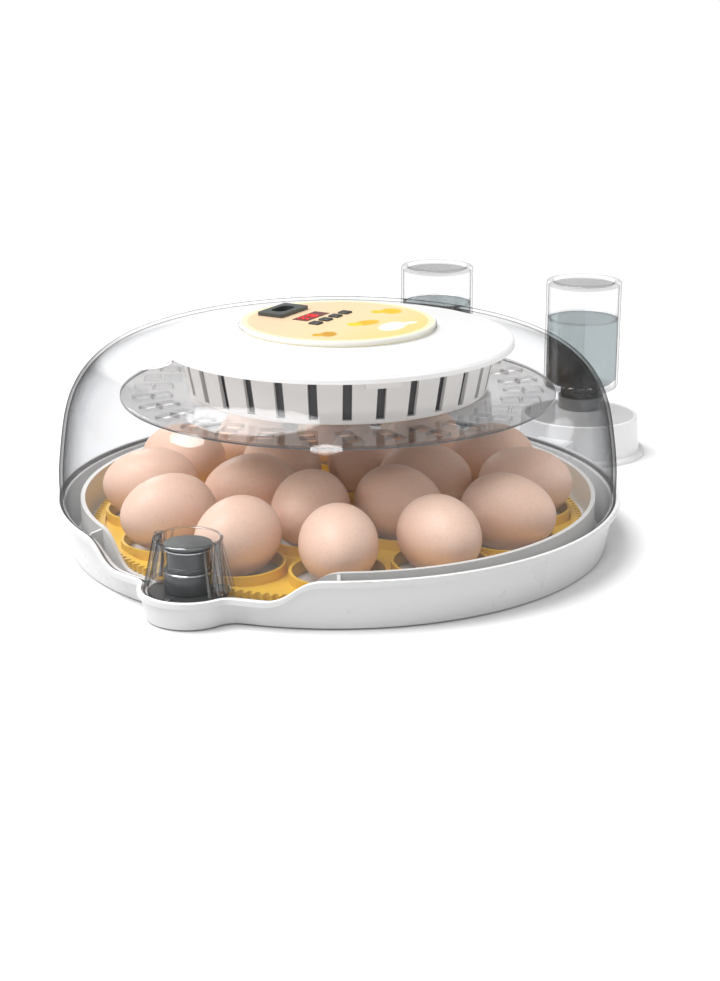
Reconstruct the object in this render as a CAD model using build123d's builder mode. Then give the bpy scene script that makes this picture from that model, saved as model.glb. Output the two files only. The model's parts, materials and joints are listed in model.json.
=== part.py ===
"""Round tabletop egg incubator: white water tray, egg turner ring, clear dome lid with fan and heater,
motor that drives the ring by a pinion, and two upside-down bottles that feed the water tray.

Millimetres, +Z up. The origin is the middle of the tray on the table. The control panel reads upright
from the front (-Y), the turner motor is at the left (-X) and the bottles are at the right (+X).
"""

from build123d import *
import os
from math import cos, hypot, pi, sin

os.makedirs("parts", exist_ok=True)

# ---- driving dimensions -------------------------------------------------------------------------

# water tray
rim_radius = 160.0
rim_top = 28.5
lip_height = 3.2
lip_width = 2.4
lip_rounding = 0.8
seat_depth = 2.2  # the dome's edge stands this far below the rim
tray_bottom = 1.0
floor_thickness = 2.2
wall_foot_radius = 152.5
wall_thickness = 2.4
wall_draft = 11.0
foot_radius = 9.0
foot_circle = 120.0

# the rim dips at the motor, between these distances from the middle line
dip_depth = 12.0
dip_outer = 74.0
dip_inner = 44.0

# motor boss
module = 1.5
ring_teeth = 184
pinion_teeth = 18
ring_pitch_radius = module * ring_teeth / 2
pinion_pitch_radius = module * pinion_teeth / 2
motor_x = -(ring_pitch_radius + pinion_pitch_radius)
boss_lip_radius = 26.5
boss_foot_radius = 22.6
shaft_radius = 2.5
shaft_top = 20.0
bracket_bottom = 13.0
bracket_top = 14.4
bracket_radius = 20.6
post_circle = 18.3
post_radius = 1.8
post_angles = [90, 180, 270]
screw_radius = 1.0
screw_head_radius = 1.9
screw_head_height = 1.2
gearbox_radius = 12.5
gearbox_top = 25.0
motor_radius = 11.0
motor_top = 39.2

# egg basin
basin_radius = 146.0
basin_wall = 2.4
basin_top = 28.0
basin_floor = 8.0
basin_floor_thickness = 2.0
basin_dip = 17.0
pinion_room = 17.5
support_radii = [138.0, 96.0, 30.0]
rib_width = 1.6
floor_rib_radius = 62.0
vent_circle = 79.0

# turner
turner_clearance = 0.4
gear_height = 3.9
plate_height = 2.2
pocket_wall = 1.6
pocket_top = 16.0
outer_egg_circle = 107.0
inner_egg_circle = 51.0
outer_eggs = 12
inner_eggs = 6
inner_egg_turn = 12.0
outer_pocket_radius = 24.5
inner_pocket_radius = 23.0
hub_pin_radius = 3.95
hub_pin_top = 14.4
running_clearance = 0.05

# eggs
egg_length = 57.0
egg_width = 44.0
egg_clearance = 0.3

# dome: outside corner points of the half section, from the rim up to the control panel
dome_points = [
    (157.3, 14.0),
    (157.5, 37.6),
    (155.2, 62.8),
    (149.2, 87.4),
    (132.6, 107.0),
    (105.9, 117.1),
    (55.2, 123.9),
]
dome_thickness = 2.0
bubble_foot_radius = 23.6
bubble_foot = 14.0
bubble_top_radius = 17.6
bubble_top = 42.4

# top cover and panel
cover_radius = 98.5
cover_edge_top = 115.7
cover_slope_top = 121.3
cover_thickness = 2.4
cover_lip = 3.2
cover_seat_radius = 48.5
cover_seat_top = 122.0
panel_radius = 54.5
panel_bottom = 122.1
panel_top = 124.9

# fan hub under the cover
hub_top_radius = 88.5
hub_top = 112.2
hub_foot_radius = 83.5
hub_foot = 87.0
hub_wall = 2.0
hub_slots = 30
slot_width = 4.9
slot_bottom = 89.6
slot_top = 110.8
slot_start = -158.8
clip_size = (1.4, 20.0, 4.4)
clip_middle = 109.8
clip_start = -134.5
intake_radius = 41.0
plate_radius = 122.0
plate_bottom = 84.6
plate_thickness = 2.2
plate_hole_radius = 62.0
plate_slot_circle = 104.0
plate_slot_turn = 17.0
plate_cell = (10.0, 8.6)
plate_cell_offset = 5.7
hub_screw_circle = 76.0
hub_screw_radius = 1.5

# panel parts
button_xs = [-13.8, -3.0, 7.8, 18.6]
button_names = ["light_button", "up_button", "down_button", "menu_button"]
button_y = 6.0
button_size = 6.0
window_centre = (1.2, 18.1)
window_size = (25.0, 9.6)
inlet_centre = (3.2, 37.6)
inlet_size = (29.4, 16.0)
inlet_top = 127.0
inlet_body = (24.0, 12.0)
inlet_bottom = 108.0
socket_floor = 112.0
board_bottom = 116.4
board_thickness = 1.6
board_radius = 52.0
peg_circle = 50.4

# fan and heater
fan_frame_top = 106.0
fan_bar_thickness = 2.0
rotor_radius = 35.0
rotor_bottom = 92.0
rotor_top = 102.5
rotor_cup_radius = 11.5
fan_motor_radius = 9.0
fan_motor_bottom = 94.5
spindle_radius = 1.5
heater_circle = 60.0
heater_radius = 2.4
heater_height = 98.0
sensor_x = -52.0
sensor_bottom = 74.0

# bottles and their seats
bottle_x = 226.5
bottle_y = 53.3
bottle_radius = 24.3
bottle_top = 114.5
bottle_wall = 1.4
shoulder_z = 43.0
neck_radius = 12.0
neck_bottom = 31.2
water_top = 89.5
cup_radius = 38.0
cup_foot_radius = 39.6
cup_flange_radius = 43.0
cup_top = 26.0
cup_wall = 2.4
cup_floor = 3.2
seat_radius = 16.0
seat_top = 30.0
duct_width = 24.0
duct_top = 17.0
duct_start = 143.0

# ---- shared shapes ------------------------------------------------------------------------------

reach = 200.0  # beyond everything in the tray, for cutting shapes


def tray_outline(ring, boss, blend):
    """Plan of the tray: a circle joined to the motor boss by concave arcs of radius blend."""
    centre_x = -((ring + blend) ** 2 - (boss + blend) ** 2 + motor_x**2) / (-2 * motor_x)
    centre = Vector(centre_x, ((ring + blend) ** 2 - centre_x**2) ** 0.5)
    boss_centre = Vector(motor_x, 0)
    on_ring = centre * (ring / (ring + blend))
    on_boss = boss_centre + (centre - boss_centre) * (boss / (boss + blend))
    middle = centre + ((on_ring + on_boss) / 2 - centre).normalized() * blend
    with BuildSketch() as outline:
        with BuildLine():
            ThreePointArc(on_ring, (ring, 0), (on_ring.X, -on_ring.Y))
            ThreePointArc((on_ring.X, -on_ring.Y), (middle.X, -middle.Y), (on_boss.X, -on_boss.Y))
            ThreePointArc((on_boss.X, -on_boss.Y), (motor_x - boss, 0), on_boss)
            ThreePointArc(on_boss, middle, on_ring)
        make_face()
    return outline.sketch


def below_rim(offset, drop=dip_depth):
    """Everything lower than a line that follows the rim, moved up by offset, dipping at the motor."""
    top = rim_top + offset
    low = top - drop
    middle = (dip_inner + dip_outer) / 2
    with BuildSketch(Plane.YZ) as section:
        with BuildLine():
            Polyline(
                (-dip_outer, top),
                (-reach, top),
                (-reach, -10),
                (reach, -10),
                (reach, top),
                (dip_outer, top),
            )
            Bezier((dip_outer, top), (middle, top), (middle, low), (dip_inner, low))
            Line((dip_inner, low), (-dip_inner, low))
            Bezier((-dip_inner, low), (-middle, low), (-middle, top), (-dip_outer, top))
        make_face()
    level = Pos(reach / 2, 0, (top - 10) / 2) * Box(reach, 2 * reach, top + 10)
    return extrude(section.sketch, amount=-reach) + level


def upper_edges(band):
    """The edges along a band's top, outside and inside, but not those between its top faces."""
    tops = [face for face in band.faces() if face.normal_at(face.center()).Z > 0.2]
    found = [edge for face in tops for edge in face.edges()]
    return [edge for edge in found if sum(edge.is_same(other) for other in found) == 1]


def gear_outline(teeth, turn):
    """Spur gear outline with slim teeth, so that a meshed pair runs with play."""
    pitch_angle = 2 * pi / teeth
    pitch_radius = module * teeth / 2
    tip_radius = pitch_radius + 0.95 * module
    root_radius = pitch_radius - 1.15 * module
    corner_radii = (root_radius, tip_radius, tip_radius, root_radius)
    corner_sides = (-0.3, -0.13, 0.13, 0.3)
    points = []
    for tooth in range(teeth):
        centre = (tooth + turn) * pitch_angle
        for radius, side in zip(corner_radii, corner_sides):
            angle = centre + side * pitch_angle
            points.append((radius * cos(angle), radius * sin(angle)))
    return points


def inward(points, depth):
    """The points of a curve moved square to it, towards the dome's inside."""
    moved = []
    for index, (x, z) in enumerate(points):
        before = points[max(index - 1, 0)]
        after = points[min(index + 1, len(points) - 1)]
        run = (after[0] - before[0], after[1] - before[1])
        length = hypot(*run)
        moved.append((x - depth * run[1] / length, z + depth * run[0] / length))
    return moved


def dome_solid(depth):
    """The dome's full body, depth inside its outer surface, with the bubble over the motor."""
    points = inward(dome_points, depth)
    with BuildPart() as body:
        with BuildSketch(Plane.XZ):
            with BuildLine():
                Line((0, 0), (points[0][0], 0))
                Line((points[0][0], 0), points[0])
                Line(points[0], points[1])
                Spline(points[1:], tangents=[(0, 1), (-0.99, 0.12)])
                Line(points[-1], (0, points[-1][1]))
                Line((0, points[-1][1]), (0, 0))
            make_face()
        revolve(axis=Axis.Z)
        foot = (bubble_foot_radius - depth, bubble_foot)
        head = (bubble_top_radius - depth, bubble_top - depth)
        with BuildSketch(Plane(origin=(motor_x, 0, 0), x_dir=(1, 0, 0), z_dir=(0, -1, 0))):
            with BuildLine():
                Polyline((0, bubble_foot), foot, head, (0, bubble_top - depth), close=True)
            make_face()
        revolve(axis=Axis((motor_x, 0, 0), (0, 0, 1)))
    return body.part


wall_outside = tray_outline(wall_foot_radius, boss_foot_radius, 13.0)
wall_inside = tray_outline(wall_foot_radius - wall_thickness, boss_foot_radius - wall_thickness, 15.4)
lip_outside = tray_outline(rim_radius, boss_lip_radius, 8.0)
lip_inside = tray_outline(rim_radius - lip_width, boss_lip_radius - lip_width, 8.0 + lip_width)
shelf_inside = tray_outline(rim_radius - 5.2, boss_lip_radius - 5.2, 13.2)

rim_under = below_rim(0)
shelf_under = below_rim(-seat_depth)
lip_under = below_rim(-lip_height)
basin_under = below_rim(basin_top - rim_top, basin_dip)
dome_over = below_rim(-seat_depth + 0.2)

lip_band = (extrude(lip_outside - lip_inside, rim_top + 5) & rim_under) - lip_under
lip_band = lip_band.solid().fillet(lip_rounding, upper_edges(lip_band))
shelf_band = (extrude(lip_outside - shelf_inside, rim_top + 5) & shelf_under) - lip_under

# ---- tray body ----------------------------------------------------------------------------------

wall_rise = rim_top - tray_bottom - lip_height + 0.5
tray_floor = tray_bottom + floor_thickness
duct_middle = (cup_floor + duct_top) / 2
duct_height = duct_top - cup_floor

with BuildPart() as base_tray:
    with BuildSketch(Plane.XY.offset(tray_bottom)):
        add(wall_outside)
    extrude(amount=wall_rise, taper=-wall_draft)
    with BuildSketch(Plane.XY.offset(tray_floor)):
        add(wall_inside)
    extrude(amount=wall_rise, taper=-wall_draft, mode=Mode.SUBTRACT)
    add(shelf_under, mode=Mode.INTERSECT)
    add(shelf_band)
    add(lip_band)
    # windows for the two water ducts
    with Locations(*[(wall_foot_radius, duct_y, duct_middle) for duct_y in (-bottle_y, bottle_y)]):
        Box(20, duct_width + 0.2, duct_height + 0.2, mode=Mode.SUBTRACT)
    # posts that carry the motor bracket
    with BuildSketch(Plane.XY.offset(tray_floor)):
        for angle in post_angles:
            turn = angle * pi / 180
            with Locations((motor_x + post_circle * cos(turn), post_circle * sin(turn))):
                Circle(post_radius)
    extrude(amount=bracket_bottom - tray_floor)
    # low ribs under the floor make the tray stiff
    with BuildSketch(Plane.XY.offset(tray_floor)):
        Circle(floor_rib_radius)
        Circle(floor_rib_radius - rib_width, mode=Mode.SUBTRACT)
    extrude(amount=rib_width)
base_tray.part.label = "base_tray"
export_step(base_tray.part, "parts/base_tray.step")

with BuildPart() as rubber_feet:
    with BuildSketch():
        with PolarLocations(foot_circle, 4, start_angle=45):
            Circle(foot_radius)
        Circle(foot_radius)
    extrude(amount=tray_bottom)
rubber_feet.part.label = "rubber_feet"
export_step(rubber_feet.part, "parts/rubber_feet.step")

basin_under_z = basin_floor - basin_floor_thickness

with BuildPart() as egg_basin:
    with BuildSketch(Plane.XZ):
        with BuildLine():
            Polyline(
                (0, basin_under_z),
                (basin_radius, basin_under_z),
                (basin_radius, basin_top),
                (basin_radius - basin_wall, basin_top),
                (basin_radius - basin_wall, basin_floor),
                (0, basin_floor),
                close=True,
            )
        make_face()
    revolve(axis=Axis.Z)
    add(basin_under, mode=Mode.INTERSECT)
    # end walls close the water channel on both sides of the motor
    for angle in (150, 210):
        outward = Vector(cos(angle * pi / 180), sin(angle * pi / 180))
        across = Vector(outward.Y, -outward.X)
        with BuildSketch(Plane(origin=(0, 0, 0), x_dir=outward, z_dir=across)):
            with BuildLine():
                Polyline((145, 6.5), (150.4, 6.5), (153.6, 24.5), (152.0, 26.0), (145, 27.6), close=True)
            make_face()
        extrude(amount=0.9, both=True)
    # room for the pinion
    with BuildSketch(Plane.XY.offset(basin_floor)):
        with Locations((motor_x, 0)):
            Circle(pinion_room)
    extrude(amount=rim_top, mode=Mode.SUBTRACT)
    # supporting rings under the floor and the seat of the hub pin
    with BuildSketch(Plane.XY.offset(tray_floor)):
        for radius in support_radii:
            Circle(radius)
            Circle(radius - rib_width, mode=Mode.SUBTRACT)
    extrude(amount=basin_under_z - tray_floor)
    # slots that let moist air up
    with BuildSketch(Plane.XY.offset(basin_under_z)):
        with PolarLocations(vent_circle, 12, start_angle=15):
            SlotOverall(14.0, 3.0, rotation=90)
    extrude(amount=basin_floor_thickness, mode=Mode.SUBTRACT)
    Hole(hub_pin_radius)
egg_basin.part.label = "egg_basin"
export_step(egg_basin.part, "parts/egg_basin.step")

with BuildPart() as hub_pin:
    with BuildSketch(Plane.XY.offset(tray_floor)):
        Circle(hub_pin_radius)
    extrude(amount=hub_pin_top - tray_floor)
    chamfer(hub_pin.faces().sort_by(Axis.Z)[-1].edges(), 0.6)
hub_pin.part.label = "hub_pin"
export_step(hub_pin.part, "parts/hub_pin.step")

# ---- egg turner ---------------------------------------------------------------------------------

turner_bottom = basin_floor + turner_clearance

with BuildPart() as turner_ring:
    with BuildSketch(Plane.XY.offset(turner_bottom)):
        with BuildLine():
            Polyline(*gear_outline(ring_teeth, 0), close=True)
        make_face()
    extrude(amount=gear_height)
    with BuildSketch(Plane.XY.offset(turner_bottom + plate_height)):
        Circle(ring_pitch_radius - 5.0)
    extrude(amount=gear_height, mode=Mode.SUBTRACT)
    with BuildSketch(Plane.XY.offset(turner_bottom)):
        with PolarLocations(outer_egg_circle, outer_eggs):
            Circle(outer_pocket_radius + pocket_wall)
        with PolarLocations(inner_egg_circle, inner_eggs, start_angle=inner_egg_turn):
            Circle(inner_pocket_radius + pocket_wall)
        Circle(8.0)
    extrude(amount=pocket_top - turner_bottom)
    with BuildSketch(Plane.XY.offset(turner_bottom)):
        with PolarLocations(outer_egg_circle, outer_eggs):
            Circle(outer_pocket_radius)
        with PolarLocations(inner_egg_circle, inner_eggs, start_angle=inner_egg_turn):
            Circle(inner_pocket_radius)
        Circle(hub_pin_radius + running_clearance)
    extrude(amount=pocket_top - turner_bottom, mode=Mode.SUBTRACT)
turner_ring.part.label = "turner_ring"
export_step(turner_ring.part, "parts/turner_ring.step")

egg_bluntness = 2.6
egg_profile = []
for step in range(1, 8):
    along = egg_length / 2 * -cos(step * pi / 8)
    skew = egg_length**2 + 8 * egg_bluntness * along + 4 * egg_bluntness**2
    bulge = (egg_length**2 - 4 * along**2) / skew
    egg_profile.append((along, egg_width / 2 * bulge**0.5))

with BuildPart() as one_egg:
    with BuildSketch(Plane.XZ.offset(0)):
        with BuildLine():
            Spline((-egg_length / 2, 0), *egg_profile, (egg_length / 2, 0), tangents=[(0, 1), (0, -1)])
            Line((egg_length / 2, 0), (-egg_length / 2, 0))
        make_face()
    revolve(axis=Axis.X)

egg_middle = basin_floor + egg_clearance + one_egg.part.bounding_box().size.Z / 2

with BuildPart() as outer_eggs_load:
    with Locations(Plane.XY.offset(egg_middle)):
        with PolarLocations(outer_egg_circle, outer_eggs):
            add(one_egg.part)
outer_eggs_load.part.label = "eggs_outer_ring"
export_step(outer_eggs_load.part, "parts/eggs_outer_ring.step")

with BuildPart() as inner_eggs_load:
    with Locations(Plane.XY.offset(egg_middle)):
        with PolarLocations(inner_egg_circle, inner_eggs, start_angle=inner_egg_turn):
            add(one_egg.part)
inner_eggs_load.part.label = "eggs_inner_ring"
export_step(inner_eggs_load.part, "parts/eggs_inner_ring.step")

# ---- turner drive -------------------------------------------------------------------------------

motor_plane = Plane(origin=(motor_x, 0, 0))

with BuildPart() as drive_pinion:
    with BuildSketch(motor_plane.offset(turner_bottom)):
        with BuildLine():
            Polyline(*gear_outline(pinion_teeth, 0.5), close=True)
        make_face()
        Circle(shaft_radius, mode=Mode.SUBTRACT)
    extrude(amount=gear_height)
drive_pinion.part.label = "drive_pinion"
export_step(drive_pinion.part, "parts/drive_pinion.step")

with BuildPart() as pinion_shaft:
    with BuildSketch(motor_plane.offset(turner_bottom)):
        Circle(shaft_radius)
    extrude(amount=shaft_top - turner_bottom)
pinion_shaft.part.label = "pinion_shaft"
export_step(pinion_shaft.part, "parts/pinion_shaft.step")

with BuildPart() as motor_bracket:
    with BuildSketch(motor_plane.offset(bracket_bottom)):
        Circle(bracket_radius)
        with Locations((20.0, 0)):
            Rectangle(11.0, 60.0, mode=Mode.SUBTRACT)
        Circle(shaft_radius + 0.6, mode=Mode.SUBTRACT)
        with PolarLocations(post_circle, 3, start_angle=90, angular_range=180, endpoint=True):
            Circle(screw_radius + 0.05, mode=Mode.SUBTRACT)
    extrude(amount=bracket_top - bracket_bottom)
motor_bracket.part.label = "motor_bracket"
export_step(motor_bracket.part, "parts/motor_bracket.step")

with BuildPart() as bracket_screws:
    with BuildSketch(motor_plane.offset(bracket_top)):
        with PolarLocations(post_circle, 3, start_angle=90, angular_range=180, endpoint=True):
            Circle(screw_head_radius)
    extrude(amount=screw_head_height)
    with BuildSketch(motor_plane.offset(bracket_bottom)):
        with PolarLocations(post_circle, 3, start_angle=90, angular_range=180, endpoint=True):
            Circle(screw_radius)
    extrude(amount=bracket_top - bracket_bottom)
bracket_screws.part.label = "bracket_screws"
export_step(bracket_screws.part, "parts/bracket_screws.step")

with BuildPart() as gearbox:
    with BuildSketch(motor_plane.offset(bracket_top)):
        Circle(gearbox_radius)
    extrude(amount=gearbox_top - bracket_top)
    chamfer(gearbox.edges().filter_by(GeomType.CIRCLE), 0.5)
    with BuildSketch(motor_plane.offset(bracket_top)):
        Circle(shaft_radius + running_clearance)
    extrude(amount=shaft_top + 0.4 - bracket_top, mode=Mode.SUBTRACT)
gearbox.part.label = "gearbox"
export_step(gearbox.part, "parts/gearbox.step")

with BuildPart() as motor_can:
    with BuildSketch(motor_plane.offset(gearbox_top)):
        Circle(motor_radius)
    extrude(amount=motor_top - 1.0 - gearbox_top)
    fillet(motor_can.faces().sort_by(Axis.Z)[-1].edges(), 0.8)
motor_can.part.label = "motor_can"
export_step(motor_can.part, "parts/motor_can.step")

with BuildPart() as motor_cap:
    with BuildSketch(motor_plane.offset(motor_top - 1.0)):
        Circle(motor_radius - 1.2)
    extrude(amount=1.0)
motor_cap.part.label = "motor_cap"
export_step(motor_cap.part, "parts/motor_cap.step")

# ---- dome lid -----------------------------------------------------------------------------------

dome_outside = dome_solid(0)
dome_inside = dome_solid(dome_thickness)

with BuildPart() as dome:
    add(dome_outside)
    add(dome_inside, mode=Mode.SUBTRACT)
    add(dome_over, mode=Mode.SUBTRACT)
    with BuildSketch(Plane.XY.offset(100)):
        Circle(dome_points[-1][0])
    extrude(amount=50, mode=Mode.SUBTRACT)
dome.part.label = "dome"
export_step(dome.part, "parts/dome.step")

with BuildPart() as top_cover:
    with BuildSketch(Plane.XZ):
        with BuildLine():
            Polyline(
                (cover_seat_radius, cover_seat_top - cover_thickness),
                (cover_seat_radius, cover_seat_top),
                (54.0, cover_seat_top),
                (55.0, cover_slope_top),
                (cover_radius - 0.8, cover_edge_top),
                (cover_radius, cover_edge_top - 0.8),
                (cover_radius, cover_edge_top - cover_lip),
                (cover_radius - 2.0, cover_edge_top - cover_lip),
                (cover_radius - 3.0, cover_edge_top - cover_thickness),
                (56.0, cover_slope_top - cover_thickness - 0.4),
                close=True,
            )
        make_face()
    revolve(axis=Axis.Z)
    # tubes that take the hub's screws
    with BuildSketch(Plane.XY.offset(hub_foot + hub_wall)):
        with PolarLocations(hub_screw_circle, 4, start_angle=45):
            Circle(3.6)
    extrude(amount=cover_edge_top - hub_foot - hub_wall)
    with BuildSketch(Plane.XY.offset(hub_foot + hub_wall)):
        with PolarLocations(hub_screw_circle, 4, start_angle=45):
            Circle(1.6)
    extrude(amount=14.0, mode=Mode.SUBTRACT)
    # four pegs that carry the circuit board
    with BuildSketch(Plane.XY.offset(board_bottom + board_thickness)):
        with PolarLocations(peg_circle, 4, start_angle=-20, angular_range=220, endpoint=True):
            Circle(1.4)
    extrude(amount=cover_seat_top - cover_thickness - board_bottom - board_thickness)
top_cover.part.label = "top_cover"
export_step(top_cover.part, "parts/top_cover.step")

with BuildPart() as hub_grille:
    with BuildSketch(Plane.XZ):
        with BuildLine():
            Polyline(
                (intake_radius, hub_foot),
                (hub_foot_radius, hub_foot),
                (hub_top_radius, hub_top),
                (hub_top_radius - hub_wall, hub_top),
                (hub_foot_radius - hub_wall, hub_foot + hub_wall),
                (intake_radius, hub_foot + hub_wall),
                close=True,
            )
        make_face()
    revolve(axis=Axis.Z)
    foot_rims = hub_grille.edges().filter_by(GeomType.CIRCLE)
    fillet(foot_rims.filter_by(lambda e: abs(e.radius - hub_foot_radius) < 0.01), 1.2)
    with PolarLocations(hub_foot_radius + 2, hub_slots, start_angle=slot_start):
        with Locations((0, 0, (slot_bottom + slot_top) / 2)):
            Box(12, slot_width, slot_top - slot_bottom, mode=Mode.SUBTRACT)
    with BuildSketch(Plane.XY.offset(hub_foot)):
        with PolarLocations(hub_screw_circle, 4, start_angle=45):
            Circle(hub_screw_radius + 0.2)
    extrude(amount=hub_wall, mode=Mode.SUBTRACT)
hub_grille.part.label = "hub_grille"
export_step(hub_grille.part, "parts/hub_grille.step")

with BuildPart() as grille_clips:
    with PolarLocations(hub_top_radius + 0.8, 4, start_angle=clip_start):
        with Locations((0, 0, clip_middle)):
            Box(*clip_size)
grille_clips.part.label = "grille_clips"
export_step(grille_clips.part, "parts/grille_clips.step")

with BuildPart() as air_plate:
    with BuildSketch(Plane.XY.offset(plate_bottom)):
        Circle(plate_radius)
        Circle(plate_hole_radius, mode=Mode.SUBTRACT)
        with PolarLocations(hub_screw_circle, 4, start_angle=45):
            Circle(hub_screw_radius + 0.2, mode=Mode.SUBTRACT)
        # skewed slots in line with the hub's, each of two cells
        with PolarLocations(plate_slot_circle, hub_slots, start_angle=slot_start):
            for side in (-1, 1):
                along = Pos(plate_cell_offset * side, 0)
                with Locations(Rot(0, 0, plate_slot_turn) * along):
                    Rectangle(*plate_cell, mode=Mode.SUBTRACT)
    extrude(amount=plate_thickness)
    plate_rims = air_plate.edges().filter_by(GeomType.CIRCLE)
    fillet(plate_rims.filter_by(lambda e: abs(e.radius - plate_radius) < 0.01), 0.5)
air_plate.part.label = "air_guide_plate"
export_step(air_plate.part, "parts/air_guide_plate.step")

with BuildPart() as fan_guard:
    with BuildSketch(Plane.XY.offset(plate_bottom)):
        for radius in (61.6, 48.0, 38.0, 28.0, 18.0):
            Circle(radius)
            Circle(radius - 2.0, mode=Mode.SUBTRACT)
        Circle(9.0)
        with PolarLocations(34.0, 6, start_angle=30):
            Rectangle(54.0, 2.0)
    extrude(amount=plate_thickness)
fan_guard.part.label = "fan_guard"
export_step(fan_guard.part, "parts/fan_guard.step")

with BuildPart() as hub_screws:
    with BuildSketch(Plane.XY.offset(plate_bottom)):
        with PolarLocations(hub_screw_circle, 4, start_angle=45):
            Circle(hub_screw_radius)
    extrude(amount=16.0)
    with BuildSketch(Plane.XY.offset(plate_bottom - 1.6)):
        with PolarLocations(hub_screw_circle, 4, start_angle=45):
            Circle(3.0)
    extrude(amount=1.6)
hub_screws.part.label = "hub_screws"
export_step(hub_screws.part, "parts/hub_screws.step")

# fan, with its motor inside the rotor's cup
with BuildPart() as fan_frame:
    with BuildSketch(Plane.XY.offset(hub_foot + hub_wall)):
        Circle(intake_radius + 2.0)
        Circle(rotor_radius + 2.0, mode=Mode.SUBTRACT)
    extrude(amount=fan_frame_top - hub_foot - hub_wall)
    with BuildSketch(Plane.XY.offset(fan_frame_top - fan_bar_thickness)):
        Circle(12.0)
        with PolarLocations(24.5, 3, start_angle=30):
            Rectangle(29.0, 6.0)
    extrude(amount=fan_bar_thickness)
fan_frame.part.label = "fan_frame"
export_step(fan_frame.part, "parts/fan_frame.step")

with BuildPart() as fan_motor:
    with BuildSketch(Plane.XY.offset(fan_motor_bottom)):
        Circle(fan_motor_radius)
    extrude(amount=fan_frame_top - fan_bar_thickness - fan_motor_bottom)
    with BuildSketch(Plane.XY.offset(rotor_bottom)):
        Circle(spindle_radius)
    extrude(amount=fan_motor_bottom - rotor_bottom)
fan_motor.part.label = "fan_motor"
export_step(fan_motor.part, "parts/fan_motor.step")

with BuildPart() as fan_rotor:
    with BuildSketch(Plane.XY.offset(rotor_bottom)):
        Circle(rotor_cup_radius)
    extrude(amount=rotor_top - rotor_bottom)
    with BuildSketch(Plane.XY.offset(rotor_bottom + 2.0)):
        Circle(fan_motor_radius + 0.8)
    extrude(amount=rotor_top - rotor_bottom, mode=Mode.SUBTRACT)
    with PolarLocations((rotor_cup_radius + rotor_radius) / 2 - 0.5, 7):
        with Locations(Location((0, 0, rotor_bottom + 5.0), (32, 0, 0))):
            Box(24.0, 15.0, 1.6)
    with BuildSketch(Plane.XY.offset(rotor_bottom)):
        Circle(spindle_radius + running_clearance)
    extrude(amount=2.0, mode=Mode.SUBTRACT)
fan_rotor.part.label = "fan_rotor"
export_step(fan_rotor.part, "parts/fan_rotor.step")

with BuildPart() as heater_ring:
    with BuildSketch(Plane(origin=(heater_circle, 0, heater_height), x_dir=(1, 0, 0), z_dir=(0, -1, 0))):
        Circle(heater_radius)
    revolve(axis=Axis.Z)
heater_ring.part.label = "heater_ring"
export_step(heater_ring.part, "parts/heater_ring.step")

with BuildPart() as heater_posts:
    with PolarLocations(heater_circle, 6):
        with Locations((0, 0, (hub_foot + hub_wall + heater_height - heater_radius) / 2)):
            Box(7.0, 5.0, heater_height - heater_radius - hub_foot - hub_wall)
heater_posts.part.label = "heater_posts"
export_step(heater_posts.part, "parts/heater_posts.step")

with BuildPart() as climate_sensor:
    with BuildSketch(Plane(origin=(sensor_x, 0, sensor_bottom))):
        SlotOverall(9.0, 5.0, rotation=90)
    extrude(amount=hub_foot - sensor_bottom)
    fillet(climate_sensor.faces().sort_by(Axis.Z)[0].edges(), 1.2)
climate_sensor.part.label = "climate_sensor"
export_step(climate_sensor.part, "parts/climate_sensor.step")

# ---- electronics and control panel --------------------------------------------------------------

board_top = board_bottom + board_thickness
window_bottom = 123.5
window_top = 125.1
button_foot = 119.7
button_shoulder = 121.5
button_top = 125.9
display_top = 123.4

with BuildPart() as circuit_board:
    with BuildSketch(Plane.XY.offset(board_bottom)):
        Circle(board_radius)
        with Locations(inlet_centre):
            Rectangle(inlet_body[0] + 1.0, inlet_body[1] + 1.0, mode=Mode.SUBTRACT)
    extrude(amount=board_thickness)
circuit_board.part.label = "circuit_board"
export_step(circuit_board.part, "parts/circuit_board.step")

with BuildPart() as power_supply:
    with Locations((0, -20, board_bottom - 4.8)):
        Box(26, 18, 9.6)
    with BuildSketch(Plane.XY.offset(board_bottom - 7)):
        with Locations((24, -18), (-24, -18)):
            Circle(5.0)
    extrude(amount=7.0)
power_supply.part.label = "power_supply"
export_step(power_supply.part, "parts/power_supply.step")

with BuildPart() as button_switches:
    with Locations(*[(x, button_y, board_top + 0.35) for x in button_xs]):
        Box(6.0, 6.0, 0.7)
button_switches.part.label = "button_switches"
export_step(button_switches.part, "parts/button_switches.step")

with BuildPart() as display_module:
    with Locations((*window_centre, (board_top + display_top) / 2)):
        Box(window_size[0] - 1, window_size[1] - 1, display_top - board_top)
display_module.part.label = "display_module"
export_step(display_module.part, "parts/display_module.step")

with BuildPart() as display_window:
    with Locations((*window_centre, (window_bottom + window_top) / 2)):
        Box(*window_size, window_top - window_bottom)
display_window.part.label = "display_window"
export_step(display_window.part, "parts/display_window.step")

with BuildPart() as control_panel:
    with BuildSketch(Plane.XY.offset(panel_bottom)):
        Circle(panel_radius)
    extrude(amount=panel_top - panel_bottom)
    fillet(control_panel.faces().sort_by(Axis.Z)[-1].edges(), 1.0)
    with BuildSketch(Plane.XY.offset(panel_bottom)):
        with Locations(window_centre):
            Rectangle(window_size[0] + 0.2, window_size[1] + 0.2)
        with Locations(inlet_centre):
            Rectangle(inlet_body[0] + 0.2, inlet_body[1] + 0.2)
        with Locations(*[(x, button_y) for x in button_xs]):
            Rectangle(button_size + 0.5, button_size + 0.5)
    extrude(amount=panel_top - panel_bottom, mode=Mode.SUBTRACT)
control_panel.part.label = "control_panel"
export_step(control_panel.part, "parts/control_panel.step")

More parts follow.
